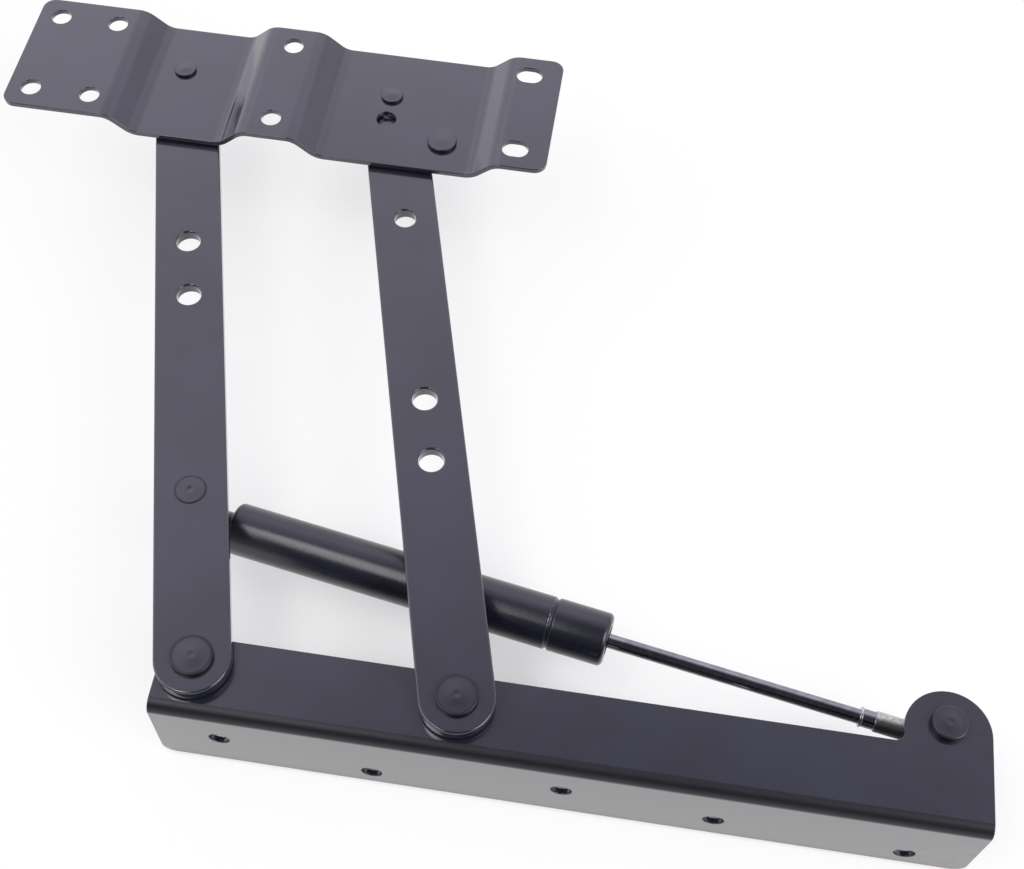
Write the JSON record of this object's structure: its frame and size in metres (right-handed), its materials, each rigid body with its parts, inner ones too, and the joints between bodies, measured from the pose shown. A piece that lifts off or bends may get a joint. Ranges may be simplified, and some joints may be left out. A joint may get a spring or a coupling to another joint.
{
  "type": "lift top table mechanism",
  "caption": "Lift top table mechanism: an angle rail, a pair of parallel flat arms and a joggled top plate, held up by a gas spring behind the rail; one hand of a pair",
  "frame": {"origin": "middle of the part in plan at its lowest level, with the part lying on its side and lifted open: the free edge of the rail's flange is at z = 0", "axes": "+X along the rail from the arm pivots to the gas spring's ear, +Y from the rail to the top plate, +Z along every pivot, from the rail's web out to the top plate's pads"},
  "size_m": [0.4662, 0.3484, 0.0631],
  "materials": {
    "painted_sheet": "charcoal paint, satin, on pressed sheet steel",
    "painted_rivet": "charcoal paint over formed steel rivets, worn on the crowns",
    "tube_paint": "black enamel, semi-gloss",
    "plated_steel": "zinc plated steel",
    "polished_rod": "nitrided black rod, ground and polished",
    "turned_steel": "turned steel",
    "cast_zinc": "die cast zinc, satin",
    "seal_rubber": "black rubber",
    "guide_bronze": "sintered bronze"
  },
  "bodies": {
    "base": {"base_rail": "painted_sheet", "left_base_rivet": "painted_rivet", "right_base_rivet": "painted_rivet", "left_base_washer": "plated_steel", "right_base_washer": "plated_steel", "ear_rivet": "painted_rivet"},
    "left_arm": {"left_arm": "painted_sheet", "tube_stud": "painted_rivet", "tube_spacer": "plated_steel", "tube_stud_washer": "plated_steel"},
    "right_arm": {"right_arm": "painted_sheet"},
    "top_plate": {"top_plate": "painted_sheet", "left_top_rivet": "painted_rivet", "right_top_rivet": "painted_rivet", "left_top_washer": "plated_steel", "right_top_washer": "plated_steel", "stop_pin": "painted_rivet"},
    "gas_cylinder": {"gas_tube": "tube_paint", "tube_eye": "tube_paint", "rod_seal": "seal_rubber", "rod_guide": "guide_bronze"},
    "gas_rod": {"piston_rod": "polished_rod", "piston": "turned_steel", "piston_ring": "seal_rubber", "piston_nut": "turned_steel", "rod_eye": "cast_zinc", "rod_pin": "painted_rivet", "rod_spacer": "plated_steel", "rod_pin_washer": "plated_steel"}
  },
  "joints": [
    {"name": "arm_lift", "type": "hinge", "parent": "base", "child": "left_arm", "pos_m": [-0.07437, -0.15354, 0.0477], "axis": [0, 0, 1], "range_deg": [-87, 0], "stiffness_Nm_per_rad": 0.4, "springref_deg": 114.59},
    {"name": "right_arm_pivot", "type": "hinge", "parent": "base", "child": "right_arm", "pos_m": [0.02853, -0.15354, 0.0477], "axis": [0, 0, 1], "range_deg": [-87, 0]},
    {"name": "top_plate_pivot", "type": "hinge", "parent": "left_arm", "child": "top_plate", "pos_m": [-0.15643, 0.14644, 0.0514], "axis": [0, 0, 1], "range_deg": [0, 87]},
    {"name": "tube_pivot", "type": "hinge", "parent": "left_arm", "child": "gas_cylinder", "pos_m": [-0.094, -0.08178, 0.0275], "axis": [0, 0, 1], "range_deg": [0, 95.66]},
    {"name": "rod_slide", "type": "slide", "parent": "gas_cylinder", "child": "gas_rod", "axis": [0.9867, -0.1628, 0], "range_m": [-0.09445, 0]}
  ],
  "couplings": [
    {"joint": "right_arm_pivot", "follows": "arm_lift", "ratio": 1},
    {"joint": "top_plate_pivot", "follows": "arm_lift", "ratio": -1},
    {"joint": "tube_pivot", "follows": "arm_lift", "ratio": -1.0994},
    {"joint": "rod_slide", "follows": "arm_lift", "m_per_rad": 0.062198}
  ]
}
